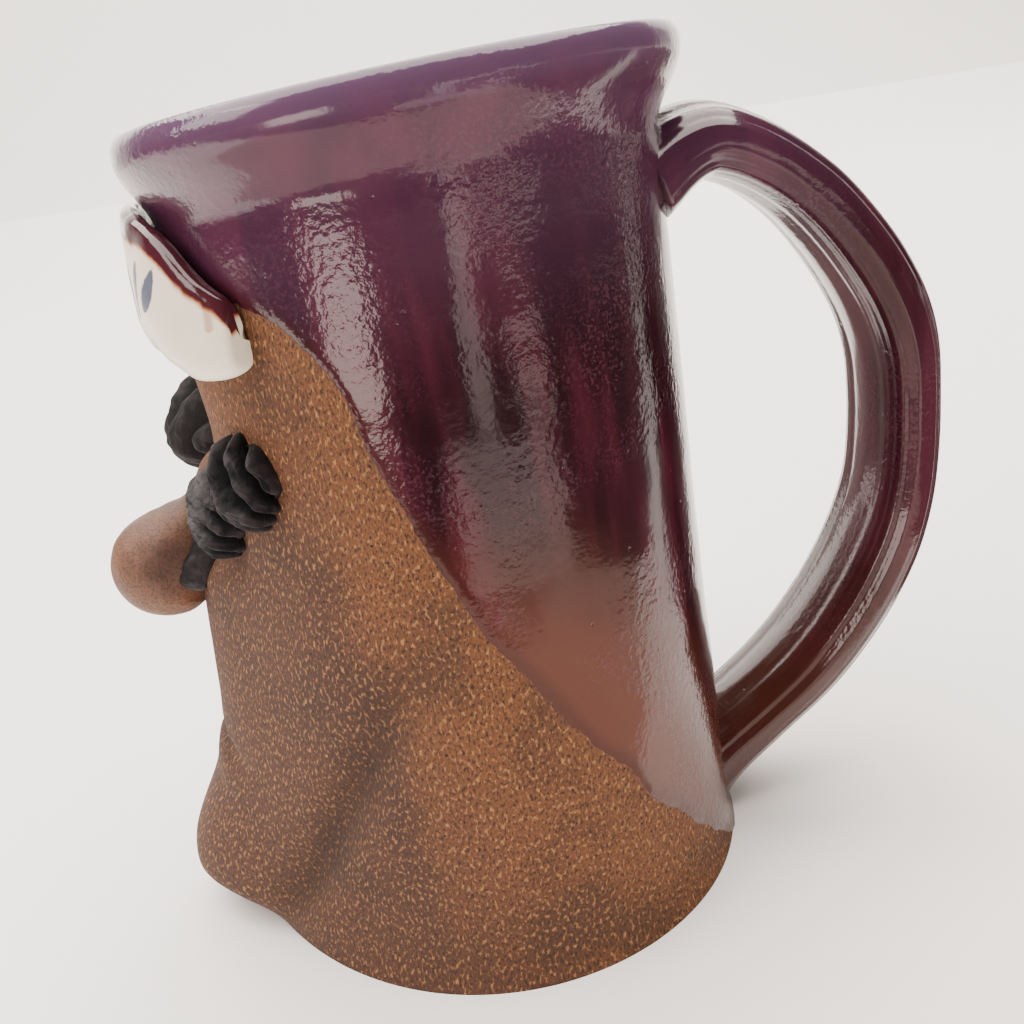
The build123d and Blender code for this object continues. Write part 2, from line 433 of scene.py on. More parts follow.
@dataclass
class ThrownBody:
    """The mug's wall, floor and pressed-out face, as one closed surface."""

    form: BodyForm
    columns: int = 364
    face_crowding: float = 0.22
    glaze_thickness: float = 0.28
    glaze_bead: float = 0.06
    deepest: float = 30.0
    uncoated: float = -9.0

    def build(self) -> bpy.types.Object:
        """Rings from the middle of the foot, up the outside, over the lip and down to the floor.

        Returns:
            The body's object, with marks for the glaze's depth, the way inwards and the painted shade along the
            jowl creases.
        """
        form = self.form
        turn = np.linspace(0, TURN, self.columns, endpoint=False)
        angle = np.degrees(turn - self.face_crowding * np.sin(turn))
        angle = np.where(angle > 180, angle - 360, angle)[None, :]
        outer_z, inner_z = self._ring_heights()
        bare = form.around(angle, form.outer_radius(angle, outer_z), outer_z)
        edge = self._glaze_depth(angle, outer_z, bare)
        radius = form.outer_radius(angle, outer_z) + self._lift(bare, outer_z, edge)
        outside = form.around(angle, radius, outer_z)
        inside = form.around(angle, form.inner_radius(angle, inner_z), inner_z)
        away = (inside - form.around(angle, 0, inner_z)) / 35
        inside = inside + 0.12 * ripple(inside, 26, 5)[..., None] * away
        foot = self._closing_rings(outside[0], np.linspace(0.05, 0.97, 12), 0.0)
        bottom = self._closing_rings(inside[-1], np.linspace(0.96, 0.05, 12), form.floor)
        rings = np.concatenate([foot, outside, inside, bottom])
        within = len(inside) + len(bottom)
        glaze = np.concatenate([np.full(foot.shape[:2], self.uncoated), edge,
                                np.full((within, self.columns), self.deepest)])
        centres = rings.mean(axis=1)
        spread = np.linalg.norm(rings - centres[:, None], axis=2).mean(axis=1)
        lengths = run_length(centres) + np.concatenate([[0], np.cumsum(np.abs(np.diff(spread)))])
        crest = lengths[len(rings) - within - 3]
        # painted shade: half the jowl line's strength, which darkens the bare clay along the jowl crease
        jowl_shade = 0.5 * form.jowl_line(angle, outer_z)
        marks = {
            "glaze": glaze,
            "inward": np.broadcast_to((lengths - crest)[:, None], rings.shape[:2]),
            "jowl_shade": np.pad(jowl_shade, ((len(foot), within), (0, 0))),
        }
        return Skin("thrown_body", rings, lengths, TURN * form.foot_radius, marks).to_object()

    def _ring_heights(self) -> tuple[Array, Array]:
        """Where the rings lie: closer together at the foot, the flare, the lip and the floor's corner.

        Returns:
            The outside's heights going up and the inside's going down, each as a column.
        """
        form = self.form
        lip = form.height - form.lip_round * (1 - np.sin(np.linspace(0, np.pi / 2, 10)))
        upwards = [[0.0, 0.25, 0.7, 1.3], np.linspace(2, form.flare_start - 1, 137),
                   np.linspace(form.flare_start - 0.2, form.flare_end, 15), lip[1:]]
        corner = form.floor + form.inside_corner * (1 - np.sin(np.linspace(0.05, np.pi / 2, 12)))
        downwards = [np.linspace(form.height - 0.1, form.height - 2, 6),
                     np.linspace(form.flare_end, form.flare_start, 9),
                     np.linspace(form.flare_start - 2, 18, 46), corner]
        return np.concatenate(upwards)[:, None], np.concatenate(downwards)[:, None]

    def _glaze_depth(self, angle: Array, z: Array, bare: Array) -> Array:
        """Distance into the glaze: height over its line, over the root of 1 plus the line's slope squared.

        Args:
            angle: Angles round the body in degrees.
            z: Heights in mm.
            bare: Points of the bare clay, where the edge's unevenness is read.

        Returns:
            The signed distance in mm, negative on bare clay.
        """
        arc = np.radians(1.0) * self.form.foot_radius
        slope = (self.form.glaze_line(angle + 0.5) - self.form.glaze_line(angle - 0.5)) / arc
        depth = (z - self.form.glaze_line(angle)) / np.sqrt(1 + slope**2)
        return np.clip(depth + 0.35 * ripple(bare, 11, 11) + 0.12 * ripple(bare, 3.5, 12), -60, self.deepest)

    def _lift(self, bare: Array, z: Array, edge: Array) -> Array:
        """Unevenness of the hand, faint throwing rings, and the glaze coat with a bead along its edge.

        Args:
            bare: Points of the bare clay.
            z: Heights in mm.
            edge: Distance into the glaze in mm.

        Returns:
            How far the surface stands off the bare clay, in mm.
        """
        top = self.form.height
        hand = 0.20 * ripple(bare, 52, 1) + 0.03 * ripple(bare, 17, 2)
        throwing = 0.014 * np.sin(TURN * z / 7.5 + 1.2 * ripple(bare, 60, 3))
        coat = self.glaze_thickness * smooth_step(-0.2, 1.0, edge) + self.glaze_bead * hump(edge - 0.8, 0.7)
        uneven = (hand + throwing) * smooth_step(0, 6, z) * smooth_step(top, top - 8, z)
        return uneven + coat * smooth_step(top + 1, self.form.flare_end, z)

    @staticmethod
    def _closing_rings(ring: Array, shares: Array, z: float) -> Array:
        """Flat rings that shrink from a ring towards its middle.

        Args:
            ring: The ring's points.
            shares: The size of each new ring.
            z: Height they lie at.

        Returns:
            The new rings.
        """
        middle = ring.mean(axis=0)
        rings = middle + (ring - middle)[None] * shares[:, None, None]
        rings[..., 2] = z
        return rings


@dataclass
class StrapHandle:
    """Pulled strap handle: a rounded, ridged section carried along an ear-shaped path."""

    form: BodyForm
    width_top: float = 25.0
    width_middle: float = 22.5
    width_foot: float = 19.0
    thickness: float = 9.6
    crown: float = 0.9
    top_drop: float = 5.5
    foot_height: float = 11.0
    widest_height: float = 68.0
    bury: float = 3.0
    rows: int = 260
    columns: int = 120

    def build(self) -> bpy.types.Object:
        """Carry the section along the path.

        The section is an ellipse squared up a little, crowned outside, with lengthwise ridges as
        cosines of the turn round it. Both ends swell as e to the minus distance, where the clay is
        smeared on to the wall.

        Returns:
            The handle's object, with marks for the way down and the ridges.
        """
        path = self._path()
        share = np.linspace(0, 1, self.rows)[:, None]
        tangent = np.gradient(path, axis=0)
        tangent /= np.linalg.norm(tangent, axis=1, keepdims=True)
        outward = np.stack([-tangent[:, 2], np.zeros(self.rows), tangent[:, 0]], axis=1)
        turn = np.linspace(0, TURN, self.columns, endpoint=False)[None, :]
        top_root, foot_root = np.exp(-share / 0.045), np.exp(-(1 - share) / 0.04)
        width = np.interp(share, [0, 0.5, 1], [self.width_top, self.width_middle, self.width_foot])
        width = width + 7.5 * top_root + 4.5 * foot_root
        thick = self.thickness + 4.2 * top_root + 2.6 * foot_root
        across = np.sign(np.cos(turn)) * np.abs(np.cos(turn)) ** 0.72
        through = np.sign(np.sin(turn)) * np.abs(np.sin(turn)) ** 0.74
        ridges = 0.13 * np.cos(8 * turn + 0.5) + 0.10 * np.cos(13 * turn + 1.9) + 0.035 * np.cos(31 * turn)
        ridges = ridges * (1 - 0.75 * top_root) * (1 - 0.6 * foot_root)
        flat = np.stack(np.broadcast_arrays(share * 190, across * 9, through * 4), axis=-1)
        uneven = 0.26 * ripple(flat, 60, 21) + 0.03 * ripple(flat, 15, 22)
        crowned = self.crown * hump(across, 0.55) * (through > 0)
        lifted = through * (thick / 2 + ridges + crowned + 0.6 * uneven)
        rings = path[:, None, :] + lifted[..., None] * outward[:, None, :]
        rings[..., 1] += across * (width / 2 + ridges + uneven)
        marks = {"down": np.broadcast_to(share, rings.shape[:2]),
                 "groove": np.broadcast_to(ridges, rings.shape[:2])}
        return Skin("strap_handle", rings, run_length(path), 58.0, marks).to_object()

    def _path(self) -> Array:
        """Middle line of the strap, from inside the wall at the top to inside it at the foot.

        Returns:
            Evenly spaced points, one for each ring.
        """
        form = self.form
        top = form.flare_start - self.top_drop
        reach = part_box("handle")[1][0] / MM - self.thickness / 2 - self.crown
        top_x = form.axis_x(top) + form.wall_radius(np.float64(top))
        foot_x = form.axis_x(self.foot_height) + form.foot_radius
        out, low = reach - top_x, reach - foot_x
        knots = [
            (top_x - self.bury, top - 1.5),
            (top_x + 0.22 * out, top + 1.4),
            (top_x + 0.62 * out, top - 8.5),
            (top_x + 0.93 * out, top - 26.5),
            (reach, self.widest_height),
            (foot_x + 0.90 * low, self.foot_height + 35),
            (foot_x + 0.52 * low, self.foot_height + 13.5),
            (foot_x - self.bury, self.foot_height - 3.5),
        ]
        curve = smooth_curve(np.array([(x, 0.0, z) for x, z in knots]), self.rows * 4)
        length = run_length(curve)
        even = np.linspace(0, length[-1], self.rows)
        return np.stack([np.interp(even, length, curve[:, axis]) for axis in range(3)], axis=1)


@dataclass
class CapVisor:
    """Upturned half-moon bill of a cap, standing off the forehead."""

    form: BodyForm
    end_angle: float = 49.5
    heel: float = 102.5
    thickness: float = 2.7
    stand_off_low: float = 6.1
    stand_off_top: float = 5.0
    end_stand_off: float = 2.7
    wall_height: float = 110.0
    petals: int = 9
    petal_spacing: float = 4.7
    petal_length: float = 11.5
    rows: int = 240
    columns: int = 132

    def build(self) -> bpy.types.Object:
        """Upright sections between a top and a low outline, drawn together at the blunt ends.

        Both outlines are smooth curves over the angle, pulled to the heel line by the cosine of the
        swing to the power 0.22.

        Returns:
            The visor's object, with marks for the glazed edge, the petals and a trickle.
        """
        form = self.form
        swing = np.linspace(-0.994, 0.994, self.rows)[:, None] * np.pi / 2
        angle = self.end_angle * np.sin(swing)
        bulge = np.cos(swing)
        top_knots = np.array([[0, 121.3], [12, 121.0], [25, 119.6], [34.5, 117.3], [41.7, 113.0],
                              [47, 110.7], [54, 109.6]])
        low_knots = np.array([[0, 101.8], [15, 101.5], [25, 100.7], [33, 99.0], [41, 97.2], [54, 96.2]])
        curves = (np.interp(np.abs(angle), *smooth_curve(knots, 90).T) for knots in (top_knots, low_knots))
        top, low = (self.heel + (curve - self.heel) * bulge**0.22 for curve in curves)
        low = low + 0.25 * ripple(np.concatenate([angle, 0 * angle], axis=1) * 0.7, 9, 33)[:, None] * bulge
        wall = form.wall_radius(np.full_like(top, self.wall_height))
        face, brim = (
            wall + self.end_stand_off + (full - self.end_stand_off) * bulge**0.6
            for full in (self.stand_off_low, self.stand_off_top)
        )
        section, inner = self._sections(wall, face, brim, top, low, bulge)
        radius, height = section[..., 0], section[..., 1]
        rings = form.around(angle, radius, height)
        side = np.stack([rings[..., 1], height, radius], axis=-1)
        uneven = 0.16 * ripple(side, 15, 31) + 0.05 * ripple(side, 5, 32)
        rings = rings + (rings - form.around(angle, 0, height)) * (uneven / radius)[..., None]
        outer_face = radius > 0.5 * (face + inner)
        below_top = np.where(outer_face & (height < top - 0.4), height - top, 6.0)
        below_top = np.where(outer_face, below_top - 1.2 * np.abs(np.sin(swing)) ** 7, height - 108.5)
        edge = np.where((radius < wall + 0.8) & (height < 107.5), -6.0, below_top)
        trickle = np.abs(rings[..., 1] + 29.3 - 0.12 * (height - 108))
        trickle = trickle + 4 * smooth_step(104.5, 102.5, height)
        marks = {"edge": edge, "leaf": self._sprig(rings[..., 1], height, outer_face),
                 "drip": trickle + 4 * ~outer_face}
        return Skin("cap_visor_bill", rings, np.linspace(0, 76, self.rows), 60.0, marks).to_object()

    def _sections(
        self, wall: Array, face: Array, brim: Array, top: Array, low: Array, bulge: Array
    ) -> tuple[Array, Array]:
        """One closed outline for each place along the bill, rounded at its top.

        Args:
            wall: Radius of the body's wall.
            face: Radius of the bill's face low down.
            brim: Radius of the bill's face at its top.
            top: Heights of the top outline.
            low: Heights of the low outline.
            bulge: 1 in the middle to 0 at the ends.

        Returns:
            The outlines as radius and height, and the radius of the bill's back low down.
        """
        tall = top - low
        thin = self.thickness * (0.75 + 0.25 * bulge**0.3)
        round_off = np.minimum(1.2, 0.22 * tall)
        inner = np.maximum(face - thin, wall - 1.0)
        knots = [
            (wall - 1.4, low + 0.2 * tall),
            (wall + 0.2, low + 0.02 * tall),
            (face - 1.6, low),
            (face - 0.2, low + 0.11 * tall),
            (face, low + 0.30 * tall),
            (0.5 * (face + brim), low + 0.62 * tall),
            (brim, top - 1.3 * round_off),
            (brim - 0.25 * thin, top - 0.25 * round_off),
            (brim - 0.75 * thin, top - 0.1 * round_off),
            (brim - thin, top - 1.2 * round_off),
            (0.5 * (inner + brim - thin), low + 0.6 * tall),
            (inner - 0.4, low + 0.36 * tall),
        ]
        outline = np.array([np.concatenate(knot, axis=1) for knot in knots])
        return smooth_curve(outline, self.columns, closed=True).transpose(1, 0, 2), inner

    def _sprig(self, across: Array, height: Array, shown: Array) -> Array:
        """Brush-painted petals that fan round a point low on the bill, as a generic leaf sprig.

        Each petal is a drop whose half width swells and shrinks as the sine of the share along it.

        Args:
            across: Places across the bill in mm.
            height: Heights in mm.
            shown: Where the petals may be painted.

        Returns:
            Distance to the nearest petal in mm, negative inside it.
        """
        far = 9.0
        nearest = np.full_like(across, far)
        for step in range(-(self.petals // 2), self.petals // 2 + 1):
            start, turn = self.petal_spacing * step, np.radians(8.5 * step)
            length = self.petal_length - 0.3 * step**2
            dx, dz = across - start, height - (104.4 + 0.008 * start**2)
            along = dx * np.sin(turn) + dz * np.cos(turn)
            aside = dx * np.cos(turn) - dz * np.sin(turn)
            share = np.clip(along / length, 0, 1)
            half = 1.25 * np.sin(np.pi * share**0.8) ** 0.8 + 0.15
            nearest = np.minimum(nearest, np.hypot(aside, np.abs(along - share * length)) - half)
        return np.where(shown, nearest, far)


@dataclass
class Nose:
    """A drop of clay: a ball that hangs in front of the muzzle, its thin bridge up on the forehead."""

    radius: float = 8.8
    cap_rows: int = 50
    rows: int = 150
    columns: int = 128

    def build(self) -> bpy.types.Object:
        """Round sections along a bent path: half a circle for the ball, then radii from a smooth
        curve through the neck and up the bridge.

        Returns:
            The nose's object.
        """
        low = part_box("nose")[0]
        ball = np.array([low[0] / MM + self.radius + 1.0, 0.0, low[2] / MM + self.radius + 0.2])
        back_up_share = np.array([[0, 0, 1], [2.6, 1.8, 0.932], [5.4, 3.8, 0.784],
                                  [8.2, 6.0, 0.625], [10.2, 8.4, 0.5], [11.8, 11.2, 0.42],
                                  [13.2, 14.0, 0.352], [15.5, 16.5, 0.25]])
        back, up, share = smooth_curve(back_up_share, self.rows - self.cap_rows).T
        path = ball + np.stack([back, 0 * back, up], axis=1)
        swing = np.linspace(0.04, np.pi / 2, self.cap_rows, endpoint=False)
        aim = (path[1] - path[0]) / np.linalg.norm(path[1] - path[0])
        path = np.concatenate([ball - self.radius * np.cos(swing)[:, None] * aim, path])
        radius = self.radius * np.concatenate([np.sin(swing), share])[:, None]
        tangent = np.gradient(path, axis=0)
        tangent /= np.linalg.norm(tangent, axis=1, keepdims=True)
        side = np.array([0.0, 1.0, 0.0])
        upright = np.cross(side, tangent)[:, None]
        turn = np.linspace(0, TURN, self.columns, endpoint=False)[None, :]
        away = (radius * np.cos(turn))[..., None] * side + (radius * np.sin(turn))[..., None] * upright
        rings = path[:, None] + away
        rings = rings + away * (0.02 * ripple(rings, 15, 41) + 0.005 * ripple(rings, 4, 42))[..., None]
        return Skin("nose_drop", rings, run_length(path), TURN * self.radius).to_object()


@dataclass
class FoldedTuft:
    """A pad of black clay gathered into folds, pressed on to the face.

    angle and height place its middle. spread and length are its sizes across and along the folds,
    and proud is how far it stands out. tilt leans the folds from upright, folds is how many there
    are and depth how deep they are. fanning spreads them towards their lower end, heavy makes that
    end stand out further and notch draws the outline in at each crease.
    """

    name: str
    node: str
    form: BodyForm
    angle: float
    height: float
    spread: float
    length: float
    proud: float
    tilt: float
    folds: float
    depth: float
    seed: int
    fanning: float = 0.5
    heavy: float = 0.0
    notch: float = 0.17
    bury: float = 1.6
    rows: int = 110
    under_rows: int = 22
    columns: int = 220

    def build(self) -> bpy.types.Object:
        """Rings from the top of the pad out to its edge and back beneath it, inside the wall.

        The height is the pad's proud times the root of 1 - r^2.4 for the share r of the way out, less
        the fold grooves.

        Returns:
            The pad's object, with a mark for the creases.
        """
        top = np.sin(np.linspace(0.02, np.pi / 2, self.rows - self.under_rows))[:, None]
        under = np.linspace(0.97, 0.1, self.under_rows)[:, None]
        turn = np.linspace(0, TURN, self.columns, endpoint=False)[None, :]
        lobes = 1 + 0.05 * ripple(np.stack([np.cos(turn), np.sin(turn)], axis=-1) * 4, 5.5, self.seed)
        out = np.concatenate([top, under])
        flat = np.stack([out * lobes * np.cos(turn) * self.spread / 2,
                         out * lobes * np.sin(turn) * self.length / 2], axis=-1)
        crease, groove, crumple = self._folds(flat)
        across, along = np.moveaxis(flat * (1 - self.notch * crease * out**2)[..., None], -1, 0)
        pad = slice(len(top))
        dome = self.proud * np.sqrt(np.clip(1 - top**2.4, 0, 1))
        dome = dome * (1 - self.heavy * along[pad] / self.length)
        dome = dome + (crumple[pad] - groove[pad]) * smooth_step(1.0, 0.95, top)
        buried = np.full_like(under * turn, -self.bury) * smooth_step(1.0, 0.9, under)
        lean = np.radians(self.tilt)
        sideways = across * np.cos(lean) + along * np.sin(lean)
        z = self.height + along * np.cos(lean) - across * np.sin(lean)
        form = self.form
        angle = self.angle + np.degrees(sideways / form.foot_radius)
        rings = form.around(angle, form.outer_radius(angle, z) + np.concatenate([dome, buried]), z)
        marks = {"crease": np.concatenate([groove[pad] / max(self.depth, 0.1), np.zeros_like(buried)])}
        lengths = np.linspace(0, self.length, self.rows)
        return Skin(self.name, rings, lengths, self.spread * 3, marks).to_object()

    def _folds(self, flat: Array) -> tuple[Array, Array, Array]:
        """Folds over the flat pad: a crease is 1 - |sin|^0.9 of the place across the folds, bent by
        ripples, so that round folds meet in sharp creases.

        Args:
            flat: Places across and along the folds in mm, on the last axis.

        Returns:
            The creases as 0 to 1, the grooves in mm, and the crumpling that lifts each fold in mm.
        """
        across, along = flat[..., 0], flat[..., 1]
        fan = 1 - self.fanning * along / self.length
        bent = across * fan + 0.45 * ripple(flat, 17, self.seed + 1) + 0.10 * ripple(flat, 5, self.seed + 2)
        place = bent * self.folds / self.spread
        heights = np.random.default_rng(self.seed).uniform(-1, 1, 64)[np.floor(place).astype(int) % 64]
        crease = 1 - np.abs(np.sin(np.pi * place)) ** 0.9
        minor = 1 - np.abs(np.sin(np.pi * (place * 3 + 0.15 * along))) ** 0.8
        deep = self.depth * (1.0 + 0.12 * ripple(flat, 9, self.seed + 3))
        crumple = 0.14 * ripple(flat, 4.2, self.seed + 4) + 0.07 * ripple(flat, 1.5, self.seed + 5)
        crumple = crumple + 0.22 * self.depth * heights * (1 - crease)
        return crease, deep * crease + 0.16 * self.depth * minor, crumple


def folded_tufts(form: BodyForm) -> list[FoldedTuft]:
    """The brows, which differ, and the moustache, whose halves mirror each other.

    Args:
        form: The body that they are pressed on to.

    Returns:
        The pads, each with the CAD node that it stands for.
    """
    tufts = [
        FoldedTuft("left_brow_folds", "left_brow", form, angle=38.5, height=81.8, spread=15.5, length=14.5,
                   proud=5.6, tilt=-38, folds=5.8, depth=3.6, seed=101),
        FoldedTuft("right_brow_folds", "right_brow", form, angle=-14.5, height=84.6, spread=15.0,
                   length=18.5, proud=11.2, tilt=6, folds=5.0, depth=3.8, seed=131, fanning=0.3, heavy=0.35),
    ]
    halves = ((1, "left_moustache", 161), (-1, "right_moustache", 191))
    for side, node, seed in halves:
        tufts.append(FoldedTuft(f"{node}_folds", node, form, angle=21.5 * side, height=76.2, spread=12.5,
                                length=16.0, proud=6.2, tilt=-54 * side, folds=4.6, depth=3.4, seed=seed))
    for side, node, seed in halves:
        tufts.append(FoldedTuft(f"{node}_tip", node, form, angle=8.5 * side, height=67.5, spread=4.6,
                                length=14.0, proud=5.0, tilt=8 * side, folds=1.0, depth=0.1, seed=seed + 60))
    return tufts


class Coating:
    """A material while its nodes are laid, with the steps that clay and glaze are built of."""

    def __init__(self, name: str) -> None:
        """Start a material with an empty node tree.

        Args:
            name: The material's name.
        """
        self.material = bpy.data.materials.new(name)
        self.material.use_nodes = True
        self.tree = self.material.node_tree
        self.tree.nodes.clear()
        self.place = self.add("ShaderNodeTexCoord", out=3)

    def add(self, kind: str, inputs: dict | None = None, out: int = 0, **settings: object) -> Socket | None:
        """Add a node to the material, as add_node does."""
        return add_node(self.tree, kind, inputs, out, **settings)

    def mask(
        self, value: Socket, start: float, full: float, amount: float = 1.0, within: Socket | None = None
    ) -> Socket:
        """Soft mask that grows as a smooth step of a value, inside another mask.

        Args:
            value: The value that it follows.
            start: Where the mask is 0.
            full: Where it reaches its amount, on either side of start.
            amount: Its greatest value.
            within: A mask that it is multiplied by.

        Returns:
            The mask.
        """
        limits = {"Value": value, "From Min": start, "From Max": full, "To Max": amount}
        step = self.add("ShaderNodeMapRange", limits, interpolation_type="SMOOTHSTEP")
        return self.add("ShaderNodeMath", {0: step, 1: within}, operation="MULTIPLY") if within else step

    def coat(self, under: Socket | Colour, over: Socket | str, share: Socket | tuple) -> Socket:
        """Lay one colour over another.

        Args:
            under: The colour beneath.
            over: A colour socket or an sRGB hex colour.
            share: How much of it shows, as a mask or as the arguments of a mask.

        Returns:
            The mixed colour.
        """
        over = linear(over) if isinstance(over, str) else over
        share = self.mask(*share) if isinstance(share, tuple) else share
        return self.add("ShaderNodeMix", {0: share, 6: under, 7: over}, 2, data_type="RGBA")

    def fire(
        self, colour: Socket, roughness: Socket | float, height: Socket, relief: float, ior: float = 1.5
    ) -> bpy.types.Material:
        """Close the material with one principled surface over its relief.

        Args:
            colour: Base colour.
            roughness: Roughness of the surface.
            height: Height of the relief, 0 to 1.
            relief: How deep a height of 1 is, in mm.
            ior: Index of refraction.

        Returns:
            The finished material.
        """
        bump = self.add("ShaderNodeBump", {"Height": height, "Strength": 1.0, "Distance": relief * MM})
        shader = {"Base Color": colour, "Roughness": roughness, "Normal": bump, "IOR": ior}
        surface = self.add("ShaderNodeBsdfPrincipled", shader)
        self.add("ShaderNodeOutputMaterial", {"Surface": surface})
        return self.material


@dataclass(frozen=True)
class MaroonGlaze:
    """Glossy iron-copper maroon stoneware glaze, dipped: deep wine where thick, brown where thin.

    Fired glass gives mirror-like highlights, wobbled by orange peel and pitted by pinholes.
    """

    deep: str = "#1d070e"
    wine: str = "#3f1420"
    # the mauve below is partly the glaze's mottling and partly painted reflection
    mauve_and_sheen: str = "#55303f"
    brown: str = "#4e2315"
    lilac: str = "#482b40"
    roughness: float = 0.13

    def colour(self, coating: Coating, thin: Socket) -> Socket:
        """Wine and deep glaze in upright runs, lilac high up, brown where thin, with mauve clouds of
        grains 0.5 mm apart. The upright runs and the mauve clouds are partly the glaze's own mottling
        and partly painted reflection of bright patches.

        Args:
            coating: The material that it goes into.
            thin: 0 where the coat is thick to 1 where it is thin.

        Returns:
            The colour.
        """
        place = coating.place
        runs = coating.add("ShaderNodeMapping", {"Vector": place, "Scale": (120, 120, 16)})
        runs_and_sheen = coating.add("ShaderNodeTexNoise", {"Vector": runs, "Scale": 1.0, "Detail": 4.0})
        cloud = coating.add("ShaderNodeTexNoise", {"Vector": place, "Scale": 55.0, "Detail": 3.0})
        grains = {"Vector": place, "Scale": 2000.0, "Detail": 2.0, "Roughness": 0.6}
        grain = coating.add("ShaderNodeTexNoise", grains)
        height = coating.add("ShaderNodeSeparateXYZ", {0: place}, out=2)
        # partly painted reflection: the lighter wine runs also stand for upright reflected streaks
        colour = coating.coat(linear(self.deep), self.wine, (runs_and_sheen, 0.40, 0.62))
        colour = coating.coat(colour, self.lilac, (height, 0.088, 0.121, 0.6))
        colour = coating.coat(colour, self.brown, thin)
        # partly painted reflection: the paler mauve grain clouds also stand for bright reflected patches
        return coating.coat(colour, self.mauve_and_sheen, (grain, 0.48, 0.66, 0.5, coating.mask(cloud, 0.40, 0.70)))

    def height(self, coating: Coating) -> Socket:
        """Orange peel about 1.6 mm apart, rougher in clouds, with slow waves and pinholes of 0.3 mm.

        Args:
            coating: The material that it goes into.

        Returns:
            The height.
        """
        place = coating.place
        peel = coating.add("ShaderNodeTexNoise", {"Vector": place, "Scale": 1000.0, "Detail": 2.0})
        wave = coating.add("ShaderNodeTexNoise", {"Vector": place, "Scale": 110.0, "Detail": 1.0})
        cloud = coating.add("ShaderNodeTexNoise", {"Vector": place, "Scale": 55.0, "Detail": 3.0})
        clouds = {0: coating.mask(cloud, 0.38, 0.62), 1: 2.2, 2: 0.5}
        rough = coating.add("ShaderNodeMath", clouds, operation="MULTIPLY_ADD")
        peel = coating.add("ShaderNodeMath", {0: peel, 1: rough}, operation="MULTIPLY")
        both = coating.add("ShaderNodeMath", {0: wave, 1: 1.6, 2: peel}, operation="MULTIPLY_ADD")
        holes = coating.add("ShaderNodeTexVoronoi", {"Vector": place, "Scale": 190.0})
        pits = {0: coating.mask(holes, 0.07, 0.03), 1: -1.5, 2: both}
        return coating.add("ShaderNodeMath", pits, operation="MULTIPLY_ADD")


@dataclass(frozen=True)
class SpeckledClay:
    """Bare brown stoneware with sand in it, which gives a matte, gritty face with tan flecks and
    iron specks."""

    dark: str = "#28170f"
    middle: str = "#47291a"
    warm: str = "#643a1a"
    fleck: str = "#96693c"
    speck: str = "#1a100c"
    roughness: float = 0.86

    def colour(self, coating: Coating, skin: Socket, depth: Socket) -> tuple[Socket, Socket]:
        """Colour and height of the clay.

        Args:
            coating: The material that it goes into.
            skin: Coordinates along the surface in metres, on which flecks of 0.5 by 1 mm lean.
            depth: Distance into the glaze in mm; the kiln flashed the clay warmer close to it.

        Returns:
            The colour and the height.
        """
        fine = {"Vector": skin, "Rotation": (0, 0, -0.45), "Scale": (2600, 1300, 1)}
        fine = {"Vector": coating.add("ShaderNodeMapping", fine), "Scale": 1.0, "Detail": 3.0}
        grain = coating.add("ShaderNodeTexNoise", fine | {"Roughness": 0.6})
        coarse = {"Vector": skin, "Rotation": (0, 0, -0.55), "Scale": (1900, 1000, 1)}
        coarse = {"Vector": coating.add("ShaderNodeMapping", coarse), "Scale": 1.0, "Detail": 2.0}
        flecks = coating.mask(coating.add("ShaderNodeTexNoise", coarse), 0.52, 0.74)
        cloud = coating.add("ShaderNodeTexNoise", {"Vector": coating.place, "Scale": 32.0, "Detail": 2.0})
        flash = coating.add("ShaderNodeMath", {0: cloud, 1: 28.0, 2: depth}, operation="MULTIPLY_ADD")
        drift = coating.add("ShaderNodeTexNoise", {"Vector": coating.place, "Scale": 75.0, "Detail": 4.0})
        cells = coating.add("ShaderNodeTexVoronoi", {"Vector": coating.place, "Scale": 260.0})
        specks = coating.mask(cells, 0.075, 0.045)
        colour = coating.coat(linear(self.middle), self.warm, (flash, -26.0, 8.0))
        colour = coating.coat(colour, self.dark, (drift, 0.46, 0.66, 0.45))
        colour = coating.coat(colour, self.dark, (grain, 0.54, 0.34))
        colour = coating.coat(colour, self.fleck, flecks)
        colour = coating.coat(colour, self.speck, specks)
        height = coating.add("ShaderNodeMath", {0: flecks, 1: 0.5, 2: grain}, operation="MULTIPLY_ADD")
        height = coating.add("ShaderNodeMath", {0: specks, 1: -0.4, 2: height}, operation="MULTIPLY_ADD")
        return colour, height


